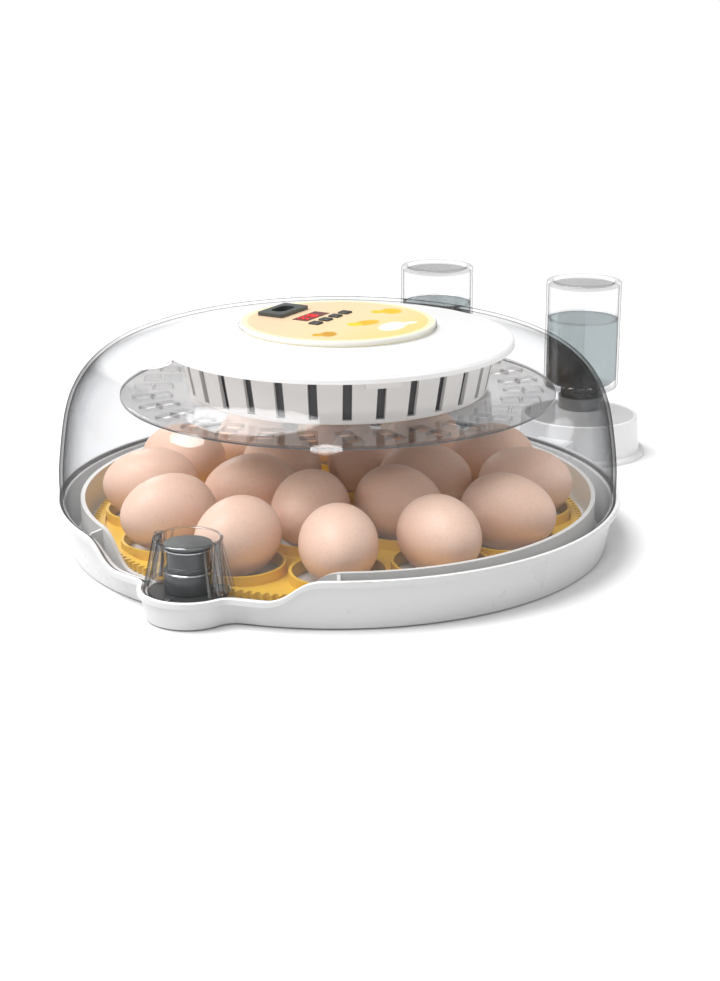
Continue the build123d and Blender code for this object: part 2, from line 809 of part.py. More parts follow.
for button_name, x in zip(button_names, button_xs):
    with BuildPart() as button:
        with Locations((x, button_y, (button_foot + button_shoulder) / 2)):
            Box(button_size + 2.0, button_size + 2.0, button_shoulder - button_foot)
        with Locations((x, button_y, (button_shoulder + button_top) / 2)):
            Box(button_size, button_size, button_top - button_shoulder)
        fillet(button.faces().sort_by(Axis.Z)[-1].edges(), 0.5)
    button.part.label = button_name
    export_step(button.part, f"parts/{button_name}.step")

with BuildPart() as power_inlet:
    with Locations((*inlet_centre, (panel_top + inlet_top) / 2)):
        Box(*inlet_size, inlet_top - panel_top)
    fillet(power_inlet.edges().filter_by(Axis.Z), 1.0)
    with Locations((*inlet_centre, (panel_top + inlet_bottom) / 2)):
        Box(*inlet_body, panel_top - inlet_bottom)
    with BuildSketch(Plane.XY.offset(socket_floor)):
        with Locations(inlet_centre):
            SlotOverall(17.0, 9.0)
    extrude(amount=20, mode=Mode.SUBTRACT)
power_inlet.part.label = "power_inlet"
export_step(power_inlet.part, "parts/power_inlet.step")

with BuildPart() as inlet_pins:
    with BuildSketch(Plane.XY.offset(socket_floor)):
        with Locations((inlet_centre[0] - 4.3, inlet_centre[1]), (inlet_centre[0] + 4.3, inlet_centre[1])):
            Circle(1.2)
    extrude(amount=12.0)
inlet_pins.part.label = "inlet_pins"
export_step(inlet_pins.part, "parts/inlet_pins.step")

# ---- bottles and seats --------------------------------------------------------------------------

cap_bottom = 30.2
cap_radius = 14.4
spout_radius = 7.6
spout_bottom = 14.0
stem_radius = 2.6
stem_bottom = 15.4
stem_seat = 32.4
spring_wire = 0.4
spring_radius = 4.2
spring_bottom = stem_seat + spring_wire + 0.02
spring_height = 7.5
spring_turns = 4

for side, y in (("front", -bottle_y), ("back", bottle_y)):
    seat_axis = Axis((bottle_x, y, 0), (0, 0, 1))
    section = Plane(origin=(bottle_x, y, 0), x_dir=(1, 0, 0), z_dir=(0, -1, 0))
    seat_plan = Plane(origin=(bottle_x, y, 0))

    with BuildPart() as bottle_seat:
        with BuildSketch(section):
            with BuildLine():
                Polyline(
                    (0, 0),
                    (cup_flange_radius, 0),
                    (cup_flange_radius, 2.4),
                    (cup_foot_radius, 3.6),
                    (cup_radius, cup_top),
                    (cup_radius - cup_wall, cup_top),
                    (cup_foot_radius - cup_wall, cup_floor),
                    (0, cup_floor),
                    close=True,
                )
            make_face()
        revolve(axis=seat_axis)
        rims = bottle_seat.edges().filter_by(GeomType.CIRCLE)
        fillet(rims.filter_by(lambda e: abs(e.center().Z - cup_top) < 0.01), 0.9)
        # duct to the tray
        duct_end = bottle_x - cup_radius + 1.0
        with BuildSketch(Plane.YZ.offset(duct_start)):
            with Locations((y, duct_middle)):
                Rectangle(duct_width, duct_height)
        extrude(amount=duct_end - duct_start)
        with BuildSketch(Plane.YZ.offset(duct_start)):
            with Locations((y, duct_middle)):
                Rectangle(duct_width - 3.6, duct_height - 3.6)
        extrude(amount=duct_end - duct_start + 4.0, mode=Mode.SUBTRACT)
        # round seat of the bottle's neck, with slots for the water and the post that opens the valve
        with BuildSketch(seat_plan.offset(cup_floor)):
            Circle(seat_radius)
            Circle(spout_radius + 0.6, mode=Mode.SUBTRACT)
        extrude(amount=seat_top - cup_floor)
        with BuildSketch(seat_plan.offset(cup_floor)):
            Rectangle(2 * seat_radius + 2, 6.0)
            Rectangle(6.0, 2 * seat_radius + 2)
        extrude(amount=14.0, mode=Mode.SUBTRACT)
        with BuildSketch(seat_plan.offset(cup_floor)):
            Circle(2.2)
        extrude(amount=stem_bottom - 0.3 - cup_floor)
    bottle_seat.part.label = f"{side}_bottle_seat"
    export_step(bottle_seat.part, f"parts/{side}_bottle_seat.step")

    with BuildPart() as bottle:
        with BuildSketch(section):
            with BuildLine():
                Polyline(
                    (0, bottle_top - 2.0),
                    (bottle_radius - 5.0, bottle_top - 2.0),
                    (bottle_radius - 4.0, bottle_top),
                    (bottle_radius, bottle_top),
                    (bottle_radius, shoulder_z),
                    (neck_radius, shoulder_z - 1.0),
                    (neck_radius, neck_bottom),
                    (neck_radius - bottle_wall, neck_bottom),
                    (neck_radius - bottle_wall, shoulder_z + 0.6),
                    (bottle_radius - bottle_wall, shoulder_z + bottle_wall + 0.2),
                    (bottle_radius - bottle_wall, bottle_top - 2.0 - bottle_wall),
                    (0, bottle_top - 2.0 - bottle_wall),
                    close=True,
                )
            make_face()
        revolve(axis=seat_axis)
        rims = bottle.edges().filter_by(GeomType.CIRCLE)
        fillet(rims.filter_by(lambda e: abs(e.radius - bottle_radius) < 0.01 and e.center().Z > 100), 1.8)
        fillet(rims.filter_by(lambda e: abs(e.radius - bottle_radius) < 0.01 and e.center().Z < 50), 5.0)
    bottle.part.label = f"{side}_bottle"
    export_step(bottle.part, f"parts/{side}_bottle.step")

    with BuildPart() as bottle_water:
        with BuildSketch(section):
            with BuildLine():
                Polyline(
                    (0, water_top),
                    (bottle_radius - bottle_wall - 0.05, water_top),
                    (bottle_radius - bottle_wall - 0.05, 50.0),
                    (bottle_radius - bottle_wall - 3.4, shoulder_z + bottle_wall + 2.4),
                    (0, shoulder_z + bottle_wall + 2.4),
                    close=True,
                )
            make_face()
        revolve(axis=seat_axis)
    bottle_water.part.label = f"{side}_bottle_water"
    export_step(bottle_water.part, f"parts/{side}_bottle_water.step")

    with BuildPart() as bottle_cap:
        with BuildSketch(section):
            with BuildLine():
                Polyline(
                    (4.2, cap_bottom),
                    (spout_radius - 1.4, cap_bottom),
                    (spout_radius - 1.4, spout_bottom),
                    (spout_radius, spout_bottom),
                    (spout_radius, cap_bottom),
                    (cap_radius, cap_bottom),
                    (cap_radius, 38.0),
                    (neck_radius + 0.05, 38.0),
                    (neck_radius + 0.05, neck_bottom - 0.02),
                    (4.2, neck_bottom - 0.02),
                    close=True,
                )
            make_face()
        revolve(axis=seat_axis)
    bottle_cap.part.label = f"{side}_bottle_cap"
    export_step(bottle_cap.part, f"parts/{side}_bottle_cap.step")

    with BuildPart() as valve_stem:
        with BuildSketch(seat_plan.offset(stem_bottom)):
            Circle(stem_radius)
        extrude(amount=stem_seat - stem_bottom)
        with BuildSketch(seat_plan.offset(neck_bottom + 0.1)):
            Circle(6.0)
        extrude(amount=stem_seat - neck_bottom - 0.1)
    valve_stem.part.label = f"{side}_valve_stem"
    export_step(valve_stem.part, f"parts/{side}_valve_stem.step")

    # the valve spring, between the stem's flange and the cross bar in the neck
    with BuildPart() as valve_spring:
        with BuildLine(seat_plan.offset(spring_bottom)):
            Helix(pitch=spring_height / spring_turns, height=spring_height, radius=spring_radius)
        wire_start = (bottle_x + spring_radius, y, spring_bottom)
        with BuildSketch(Plane(origin=wire_start, x_dir=(1, 0, 0), z_dir=(0, -1, 0))):
            Circle(spring_wire)
        sweep(is_frenet=True)
    valve_spring.part.label = f"{side}_valve_spring"
    export_step(valve_spring.part, f"parts/{side}_valve_spring.step")

    with BuildPart() as spring_bar:
        with Locations((bottle_x, y, 41.4)):
            Box(2 * (neck_radius - bottle_wall) - 0.4, 3.0, 1.2)
    spring_bar.part.label = f"{side}_spring_bar"
    export_step(spring_bar.part, f"parts/{side}_spring_bar.step")
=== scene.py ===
"""Looks of a round tabletop egg incubator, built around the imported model. Metres, +Z up."""

import json
import math
import random

import bpy
from mathutils import Matrix, Vector


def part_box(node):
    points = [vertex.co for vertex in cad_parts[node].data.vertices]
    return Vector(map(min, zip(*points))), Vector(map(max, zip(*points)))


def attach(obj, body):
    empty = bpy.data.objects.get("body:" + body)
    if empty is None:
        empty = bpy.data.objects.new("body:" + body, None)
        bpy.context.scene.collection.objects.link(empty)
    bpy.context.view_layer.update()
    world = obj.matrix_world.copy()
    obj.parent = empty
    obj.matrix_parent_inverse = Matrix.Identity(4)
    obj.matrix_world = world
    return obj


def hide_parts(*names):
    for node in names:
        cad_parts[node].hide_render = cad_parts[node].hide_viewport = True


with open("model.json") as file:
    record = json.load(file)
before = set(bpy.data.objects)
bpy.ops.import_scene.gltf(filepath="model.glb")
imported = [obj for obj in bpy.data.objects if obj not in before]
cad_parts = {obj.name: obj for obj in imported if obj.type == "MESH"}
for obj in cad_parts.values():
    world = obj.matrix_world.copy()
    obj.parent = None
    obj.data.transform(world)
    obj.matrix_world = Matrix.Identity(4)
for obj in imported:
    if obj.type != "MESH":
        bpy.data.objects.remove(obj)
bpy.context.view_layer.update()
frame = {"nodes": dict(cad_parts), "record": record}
nodes = frame["nodes"]
scene = bpy.context.scene
scene.view_settings.view_transform = "Standard"

# ---- camera, light and floor --------------------------------------------------------------------

CAMERA_PLACE = (-0.8816, -0.5090, 0.3439)
CAMERA_PITCH = math.radians(72.63)
CAMERA_HEADING = math.radians(-60.696)
CAMERA_LENS = 68.35
FLOOR_SIZE = 60.0

camera_data = bpy.data.cameras.new("camera")
camera_data.lens = CAMERA_LENS
camera = bpy.data.objects.new("camera", camera_data)
camera.location = CAMERA_PLACE
camera.rotation_euler = (CAMERA_PITCH, 0, CAMERA_HEADING)
scene.collection.objects.link(camera)
scene.camera = camera


def soft_light(name, place, aim, size, power):
    """A round area light at place, turned to aim."""
    data = bpy.data.lights.new(name, "AREA")
    data.shape = "DISK"
    data.size = size
    data.energy = power
    light = bpy.data.objects.new(name, data)
    light.location = place
    light.rotation_euler = (Vector(aim) - Vector(place)).to_track_quat("-Z", "Y").to_euler()
    scene.collection.objects.link(light)


KEY_FROM = Vector((-0.24, 0.32, 0.92))
KEY_STRENGTH = 2.75
KEY_SPREAD = math.radians(38)

key_data = bpy.data.lights.new("key", "SUN")
key_data.energy = KEY_STRENGTH
key_data.angle = KEY_SPREAD
key = bpy.data.objects.new("key", key_data)
key.rotation_euler = KEY_FROM.to_track_quat("Z", "Y").to_euler()
scene.collection.objects.link(key)
for light_name, light_place, light_aim, light_size, light_power in (
    ("light_left", (-0.95, 0.75, 0.80), (0, 0, 0.08), 0.35, 3.0),
    ("light_front", (-1.00, -0.45, 1.10), (0, 0, 0.05), 0.30, 2.6),
    # two small lights behind the machine, for soft highlights on the dome
    ("spark_left", (0.479, 0.677, 0.45), (-0.08, 0.08, 0.10), 0.16, 1.3),
    ("spark_right", (0.624, -0.742, 0.278), (-0.02, -0.13, 0.08), 0.30, 0.9),
):
    soft_light(light_name, light_place, light_aim, light_size, light_power)

SKY_STRENGTH = 0.44

world = bpy.data.worlds.new("studio")
scene.world = world
world.use_nodes = True
sky = world.node_tree.nodes["Background"]
sky.inputs["Color"].default_value = (1, 1, 1, 1)
sky.inputs["Strength"].default_value = SKY_STRENGTH

# ---- materials ----------------------------------------------------------------------------------


def material(name):
    """A new node material: its tree, its main shader and its output."""
    made = bpy.data.materials.new(name)
    made.use_nodes = True
    tree = made.node_tree
    return made, tree, tree.nodes["Principled BSDF"], tree.nodes["Material Output"]


def place_noise(tree, scale, detail=3.0):
    """Noise that stays on the object, by its Object coordinates."""
    place = tree.nodes.new("ShaderNodeTexCoord")
    noise = tree.nodes.new("ShaderNodeTexNoise")
    noise.inputs["Scale"].default_value = scale
    noise.inputs["Detail"].default_value = detail
    tree.links.new(place.outputs["Object"], noise.inputs["Vector"])
    return noise


def ramp(tree, value, stops):
    """A colour ramp over value, with (position, grey or colour) stops."""
    made = tree.nodes.new("ShaderNodeValToRGB")
    elements = made.color_ramp.elements
    while len(elements) < len(stops):
        elements.new(1.0)
    for element, (position, colour) in zip(elements, stops):
        element.position = position
        element.color = (*colour, 1) if isinstance(colour, tuple) else (colour, colour, colour, 1)
    tree.links.new(value, made.inputs["Fac"])
    return made.outputs["Color"]


def relief(tree, height, shader, strength, depth):
    """A fine surface relief from a height."""
    bump = tree.nodes.new("ShaderNodeBump")
    bump.inputs["Strength"].default_value = strength
    bump.inputs["Distance"].default_value = depth
    tree.links.new(height, bump.inputs["Height"])
    tree.links.new(bump.outputs["Normal"], shader.inputs["Normal"])


def moulded(name, dark, light, roughness, grain=900.0, relief_depth=0.00002, metal=0.0, coat=0.0):
    """Moulded plastic or metal: a slight drift of tone, of gloss and a fine satin grain."""
    made, tree, shader, _ = material(name)
    drift = place_noise(tree, 9.0).outputs["Fac"]
    tree.links.new(ramp(tree, drift, [(0.35, dark), (0.65, light)]), shader.inputs["Base Color"])
    gloss = place_noise(tree, 26.0, 4.0).outputs["Fac"]
    low, high = roughness * 0.85, min(roughness * 1.15, 1.0)
    tree.links.new(ramp(tree, gloss, [(0.3, low), (0.7, high)]), shader.inputs["Roughness"])
    shader.inputs["IOR"].default_value = 1.49
    shader.inputs["Metallic"].default_value = metal
    shader.inputs["Coat Weight"].default_value = coat
    relief(tree, place_noise(tree, grain, 2.0).outputs["Fac"], shader, 0.25, relief_depth)
    return made


def times(tree, first, second, kind="MULTIPLY"):
    """Two colours or values put together by a mix of the given kind."""
    mix = tree.nodes.new("ShaderNodeMix")
    mix.data_type = "RGBA"
    mix.blend_type = kind
    mix.inputs["Factor"].default_value = 1.0
    tree.links.new(first, mix.inputs["A"])
    tree.links.new(second, mix.inputs["B"])
    return mix.outputs["Result"]


def printed(tree, under, mask, colour):
    """A printed shape over what is under it."""
    mix = tree.nodes.new("ShaderNodeMix")
    mix.data_type = "RGBA"
    tree.links.new(mask, mix.inputs["Factor"])
    tree.links.new(under, mix.inputs["A"])
    mix.inputs["B"].default_value = (*colour, 1)
    return mix.outputs["Result"]


def tinted(tree, colour, tint):
    """A colour multiplied by a fixed tint."""
    mix = tree.nodes.new("ShaderNodeMix")
    mix.data_type = "RGBA"
    mix.blend_type = "MULTIPLY"
    mix.inputs["Factor"].default_value = 1.0
    tree.links.new(colour, mix.inputs["A"])
    mix.inputs["B"].default_value = (*tint, 1)
    return mix.outputs["Result"]


def upward(tree):
    """How far the surface faces up, from -1 to 1."""
    geometry = tree.nodes.new("ShaderNodeNewGeometry")
    parts = tree.nodes.new("ShaderNodeSeparateXYZ")
    tree.links.new(geometry.outputs["Normal"], parts.inputs["Vector"])
    return parts.outputs["Z"]


def arithmetic(tree, operation, *values):
    """The result of a math node on one or two values."""
    node = tree.nodes.new("ShaderNodeMath")
    node.operation = operation
    for socket, value in zip(node.inputs, values):
        tree.links.new(value, socket)
    return node.outputs["Value"]


def levelness(tree):
    """1 where the surface is level, 0 where it stands upright."""
    return arithmetic(tree, "ABSOLUTE", upward(tree))


def clear(name, tint, turned_stops, mirror, edge_mirror, gloss=0.03, top_clear=False, wall_shade_share=None):
    """Thin clear plastic: see-through face on and smoky where it turns away.

    top_clear leaves a level top without smoke, and the last argument paints shade on upright walls, darker
    by that share.
    """
    made, tree, shader, output = material(name)
    tree.nodes.remove(shader)
    facing = tree.nodes.new("ShaderNodeLayerWeight")
    facing.inputs["Blend"].default_value = 0.5
    turned = facing.outputs["Facing"]
    colour = ramp(tree, turned, turned_stops)
    if wall_shade_share:
        # painted shade on the upright cut walls of the clear plastic
        colour = times(tree, colour, ramp(tree, levelness(tree), [(0.25, wall_shade_share), (0.75, 1.0)]))
    colour = tinted(tree, colour, tint)
    if top_clear:
        top = ramp(tree, levelness(tree), [(0.55, 0.0), (0.85, 1.0)])
        colour = times(tree, colour, top, "LIGHTEN")
        colour = times(tree, colour, ramp(tree, turned, [(0.90, 1.0), (0.97, 0.30)]))
    # what is lit through the plastic stays bright
    rays = tree.nodes.new("ShaderNodeLightPath")
    lit = arithmetic(tree, "MAXIMUM", rays.outputs["Is Shadow Ray"], rays.outputs["Is Diffuse Ray"])
    colour = printed(tree, colour, lit, (0.99, 0.99, 0.99))
    through = tree.nodes.new("ShaderNodeBsdfTransparent")
    tree.links.new(colour, through.inputs["Color"])
    shine = tree.nodes.new("ShaderNodeBsdfGlossy")
    shine.inputs["Roughness"].default_value = gloss
    share = ramp(tree, turned, [(0.5, mirror), (1.0, edge_mirror)])
    mix = tree.nodes.new("ShaderNodeMixShader")
    tree.links.new(share, mix.inputs["Fac"])
    tree.links.new(through.outputs["BSDF"], mix.inputs[1])
    tree.links.new(shine.outputs["BSDF"], mix.inputs[2])
    tree.links.new(mix.outputs["Shader"], output.inputs["Surface"])
    return made


dome_stops = [(0.40, 1.0), (0.60, 0.95), (0.72, 0.84), (0.82, 0.66), (0.93, 0.42)]
plate_stops = [(0.50, 1.0), (0.90, 0.97)]
bottle_stops = [(0.55, 1.0), (0.74, 0.90), (0.86, 0.66), (0.95, 0.42)]
flute_stops = [(0.20, 1.0), (0.50, 0.84), (0.75, 0.50), (0.95, 0.30)]

def paint_wall_shade(finish, share):
    """Paints shade on a moulded finish where the surface stands upright, darker by that share."""
    tree = finish.node_tree
    shader = tree.nodes["Principled BSDF"]
    base = shader.inputs["Base Color"].links[0].from_socket
    # painted shade: darker as the surface turns from level to upright
    tone = ramp(tree, upward(tree), [(0.35, share), (0.70, 1.0)])
    tree.links.new(times(tree, base, tone), shader.inputs["Base Color"])
    return finish


# the tray's and hub's upright walls carry painted shade
tray_plastic = paint_wall_shade(moulded("tray_plastic", (0.90, 0.90, 0.90), (0.93, 0.93, 0.93), 0.30), 0.70)
hub_plastic = paint_wall_shade(moulded("hub_plastic", (0.88, 0.88, 0.88), (0.91, 0.91, 0.91), 0.32), 0.86)
white_plastic = moulded("white_plastic", (0.80, 0.80, 0.80), (0.84, 0.84, 0.84), 0.30)
cover_plastic = moulded("cover_plastic", (0.93, 0.93, 0.93), (0.95, 0.95, 0.95), 0.36)
basin_plastic = moulded("basin_plastic", (0.70, 0.69, 0.67), (0.78, 0.77, 0.75), 0.38)
yellow_plastic = moulded("yellow_plastic", (0.76, 0.47, 0.035), (0.86, 0.56, 0.06), 0.42)
dark_plastic = moulded("dark_plastic", (0.028, 0.032, 0.032), (0.045, 0.048, 0.048), 0.35)
inlet_plastic = moulded("inlet_plastic", (0.055, 0.065, 0.06), (0.075, 0.085, 0.08), 0.40)
neck_plastic = moulded("neck_plastic", (0.20, 0.21, 0.21), (0.28, 0.29, 0.29), 0.18)
motor_lacquer = moulded("motor_lacquer", (0.050, 0.055, 0.055), (0.065, 0.070, 0.070), 0.24,
                        300.0, 0.000004, coat=0.5)
cap_lacquer = moulded("cap_lacquer", (0.075, 0.085, 0.085), (0.095, 0.105, 0.105), 0.42, 400.0, 0.000006)
steel = moulded("steel", (0.55, 0.55, 0.56), (0.65, 0.65, 0.66), 0.25, 500.0, 0.000004, metal=1.0)
brass = moulded("brass", (0.70, 0.52, 0.22), (0.80, 0.62, 0.30), 0.25, metal=1.0)
rubber = moulded("rubber", (0.02, 0.02, 0.02), (0.03, 0.03, 0.03), 0.8)
circuit_green = moulded("circuit_green", (0.01, 0.10, 0.03), (0.02, 0.14, 0.05), 0.4)
ceramic = moulded("heater_ceramic", (0.70, 0.66, 0.58), (0.78, 0.75, 0.68), 0.7)
red_window = moulded("red_window", (0.13, 0.006, 0.008), (0.17, 0.010, 0.012), 0.25)
dome_clear = clear("dome_clear", (0.945, 0.948, 0.955), dome_stops, 0.03, 0.07, top_clear=True)
# the plate's upright cut walls get painted shade
plate_clear = clear("plate_clear", (0.94, 0.935, 0.93), plate_stops, 0.04, 0.50, wall_shade_share=0.74)
bottle_clear = clear("bottle_clear", (0.965, 0.965, 0.968), bottle_stops, 0.03, 0.10)
flute_clear = clear("flute_clear", (0.95, 0.945, 0.94), flute_stops, 0.12, 0.60, 0.06)
water_clear = clear("water_clear", (0.63, 0.675, 0.68), [(0.80, 1.0), (0.98, 0.6)], 0.04, 0.35)
trim_plastic = moulded("trim_plastic", (0.92, 0.90, 0.82), (0.94, 0.92, 0.86), 0.35)
# painted shade: a dark sheet seen through the hub's slots
hub_slot_shade = moulded("hub_slot_shade", (0.07, 0.07, 0.075), (0.11, 0.11, 0.115), 0.8, 1500.0, 0.00005)
# a dark finish for thin beads that paint the dark shade along clear edges
painted_edge_shade = moulded("painted_edge_shade", (0.10, 0.10, 0.105), (0.15, 0.15, 0.155), 0.12, 300.0, 0.000003)

digit_glow = moulded("digit_glow", (0.75, 0.03, 0.03), (0.85, 0.04, 0.04), 0.4)
glow_shader = digit_glow.node_tree.nodes["Principled BSDF"]
glow_shader.inputs["Emission Color"].default_value = (1.0, 0.05, 0.04, 1)
glow_shader.inputs["Emission Strength"].default_value = 0.5

eggshell, shell_tree, shell_shader, _ = material("eggshell")
shell_drift = place_noise(shell_tree, 16.0).outputs["Fac"]
shell_base = ramp(shell_tree, shell_drift, [(0.35, (0.85, 0.565, 0.43)), (0.65, (0.90, 0.625, 0.49))])
shell_pores = ramp(shell_tree, place_noise(shell_tree, 700.0, 2.0).outputs["Fac"],
                   [(0.36, 0.93), (0.46, 1.0)])
shell_tree.links.new(times(shell_tree, shell_base, shell_pores), shell_shader.inputs["Base Color"])
shell_shader.inputs["Roughness"].default_value = 0.46
shell_shader.inputs["Subsurface Weight"].default_value = 0.12
shell_shader.inputs["Subsurface Radius"].default_value = (0.006, 0.003, 0.002)
relief(shell_tree, place_noise(shell_tree, 1400.0, 2.0).outputs["Fac"], shell_shader, 0.3, 0.00004)


def oval(tree, centre, radii, turn, softness=0.06):
    """1 inside an upright oval through the panel's print, 0 outside, from Object coordinates."""
    place = tree.nodes.new("ShaderNodeTexCoord")
    moved = tree.nodes.new("ShaderNodeMapping")
    moved.vector_type = "TEXTURE"
    moved.inputs["Location"].default_value = (centre[0] / 1000, centre[1] / 1000, 0)
    moved.inputs["Rotation"].default_value = (0, 0, math.radians(turn))
    moved.inputs["Scale"].default_value = (radii[0] / 1000, radii[1] / 1000, 1000.0)
    length = tree.nodes.new("ShaderNodeVectorMath")
    length.operation = "LENGTH"
    tree.links.new(place.outputs["Object"], moved.inputs["Vector"])
    tree.links.new(moved.outputs["Vector"], length.inputs[0])
    return ramp(tree, length.outputs["Value"], [(1.0 - softness, 1.0), (1.0, 0.0)])


panel_print, print_tree, print_shader, _ = material("panel_print")
print_place = print_tree.nodes.new("ShaderNodeTexCoord")
print_parts = print_tree.nodes.new("ShaderNodeSeparateXYZ")
print_tree.links.new(print_place.outputs["Object"], print_parts.inputs["Vector"])
fade = print_tree.nodes.new("ShaderNodeMapRange")
fade.inputs["From Min"].default_value = 0.030
fade.inputs["From Max"].default_value = -0.052
print_tree.links.new(print_parts.outputs["Y"], fade.inputs["Value"])
ground = ramp(print_tree, fade.outputs["Result"],
              [(0.0, (0.83, 0.62, 0.40)), (0.5, (0.84, 0.66, 0.38)), (1.0, (0.86, 0.63, 0.20))])
picture = ground
for centre, radii, turn, colour in [
    ((1.0, -34.0), (13.5, 7.5), 8, (0.93, 0.91, 0.86)),
    ((13.0, -38.0), (6.5, 3.2), -20, (0.93, 0.88, 0.74)),
    ((36.0, -14.5), (8.5, 6.8), 35, (0.82, 0.50, 0.0)),
    ((30.5, -8.5), (4.9, 4.5), 0, (0.84, 0.55, 0.0)),
    ((2.0, -17.5), (9.5, 6.0), -15, (0.80, 0.45, 0.0)),
    ((-5.0, -13.5), (5.0, 4.8), 0, (0.84, 0.62, 0.0)),
    ((-33.5, -13.5), (7.0, 5.2), 20, (0.62, 0.31, 0.0)),
    ((-38.0, -9.5), (4.0, 3.7), 0, (0.70, 0.38, 0.0)),
]:
    picture = printed(print_tree, picture, oval(print_tree, centre, radii, turn, 0.25), colour)
# a pale border round the picture
border = ramp(print_tree, oval(print_tree, (0, 0), (51.0, 51.0), 0, 0.02), [(0.0, 1.0), (1.0, 0.0)])
whole = printed(print_tree, picture, border, (0.93, 0.84, 0.55))
print_tree.links.new(whole, print_shader.inputs["Base Color"])
print_shader.inputs["Roughness"].default_value = 0.38
relief(print_tree, place_noise(print_tree, 900.0, 2.0).outputs["Fac"], print_shader, 0.2, 0.00003)

finishes = {
    "white_plastic": white_plastic,
    "clear_plastic": dome_clear,
    "yellow_plastic": yellow_plastic,
    "egg_shell": eggshell,
    "water": water_clear,
    "motor_metal": motor_lacquer,
    "steel": steel,
    "dark_plastic": dark_plastic,
    "black_rubber": rubber,
    "panel_print": panel_print,
    "red_window": red_window,
    "circuit_green": circuit_green,
    "heater_ceramic": ceramic,
    "contact_brass": brass,
}
own_finish = {
    "base_tray": tray_plastic,
    "hub_grille": hub_plastic,
    "egg_basin": basin_plastic,
    "top_cover": cover_plastic,
    "air_guide_plate": plate_clear,
    "front_bottle": bottle_clear,
    "back_bottle": bottle_clear,
    "front_bottle_cap": neck_plastic,
    "back_bottle_cap": neck_plastic,
    "motor_cap": cap_lacquer,
    "power_inlet": inlet_plastic,
}


def dress(piece, finish):
    """Gives the piece one material all over."""
    piece.data.materials.clear()
    piece.data.materials.append(finish)


for row in frame["record"]["subparts"]:
    node = row["node"]
    dress(nodes[node], own_finish.get(node, finishes[row["material_slot"]]))

# ---- modelling helpers --------------------------------------------------------------------------


def alone(piece):
    """Selects only this piece and makes it the active one."""
    bpy.ops.object.select_all(action="DESELECT")
    piece.select_set(True)
    bpy.context.view_layer.objects.active = piece


def settle(piece, name, body, finish, smooth_angle=35.0):
    """Names, smooths, dresses and seats a finished piece, with its place in its mesh."""
    piece.name = name
    piece.data.name = name
    alone(piece)
    bpy.ops.object.transform_apply(location=True, rotation=True, scale=True)
    bpy.ops.object.shade_smooth_by_angle(angle=math.radians(smooth_angle))
    dress(piece, finish)
    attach(piece, body)
    return piece


def joined(pieces):
    """Several pieces as one mesh."""
    alone(pieces[0])
    for piece in pieces:
        piece.select_set(True)
    bpy.ops.object.join()
    return bpy.context.object


def turned_copy(piece, move):
    """A copy with its own mesh, moved by a matrix."""
    copy = piece.copy()
    copy.data = piece.data.copy()
    scene.collection.objects.link(copy)
    copy.data.transform(move)
    return copy


def lathe(points, centre, steps=96):
    """A body of revolution about an upright axis: a wire of (radius, height) millimetres, spun."""
    bpy.ops.object.select_all(action="DESELECT")
    bpy.ops.mesh.primitive_plane_add(size=0.001, location=(0, 0, 0))
    piece = bpy.context.object
    bpy.ops.object.mode_set(mode="EDIT")
    bpy.ops.mesh.select_mode(type="VERT")
    bpy.ops.mesh.select_all(action="SELECT")
    bpy.ops.mesh.merge(type="CENTER")
    bpy.ops.transform.translate(value=(points[0][0] / 1000, 0, points[0][1] / 1000))
    # round the section and back to its first point, where the doubles are merged
    for before, after in zip(points, points[1:] + points[:1]):
        step = ((after[0] - before[0]) / 1000, 0, (after[1] - before[1]) / 1000)
        bpy.ops.mesh.extrude_vertices_move(TRANSFORM_OT_translate={"value": step})
    bpy.ops.mesh.select_all(action="SELECT")
    bpy.ops.mesh.spin(steps=steps, angle=math.tau, center=(0, 0, 0), axis=(0, 0, 1))
    bpy.ops.mesh.select_all(action="SELECT")
    bpy.ops.mesh.remove_doubles(threshold=0.000002)
    bpy.ops.mesh.normals_make_consistent(inside=False)
    bpy.ops.object.mode_set(mode="OBJECT")
    piece.data.transform(Matrix.Translation((centre[0] / 1000, centre[1] / 1000, 0)))
    return piece


# ---- eggs ---------------------------------------------------------------------------------------

EGG_LENGTH = 0.0570
EGG_BLUNTNESS = 0.0026
egg_low, egg_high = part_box("eggs_outer_ring")
EGG_WIDTH = egg_high.z - egg_low.z
EGG_MIDDLE = (egg_low.z + egg_high.z) / 2
egg_draw = random.Random(7)

bpy.ops.object.select_all(action="DESELECT")
bpy.ops.mesh.primitive_uv_sphere_add(segments=48, ring_count=32, radius=1.0, location=(0, 0, 0))
first_egg = bpy.context.object
for corner in first_egg.data.vertices:
    along, spread = corner.co.z, math.hypot(corner.co.x, corner.co.y)
    place = along * EGG_LENGTH / 2
    skew = EGG_LENGTH**2 + 8 * EGG_BLUNTNESS * place + 4 * EGG_BLUNTNESS**2
    width = EGG_WIDTH / 2 * math.sqrt(max(EGG_LENGTH**2 - 4 * place**2, 0.0) / skew)
    share = width / spread if spread > 1e-6 else 0.0
    corner.co = (place, corner.co.x * share, corner.co.y * share)
alone(first_egg)
bpy.ops.object.mode_set(mode="EDIT")
bpy.ops.mesh.select_all(action="SELECT")
bpy.ops.mesh.normals_make_consistent(inside=False)
bpy.ops.object.mode_set(mode="OBJECT")


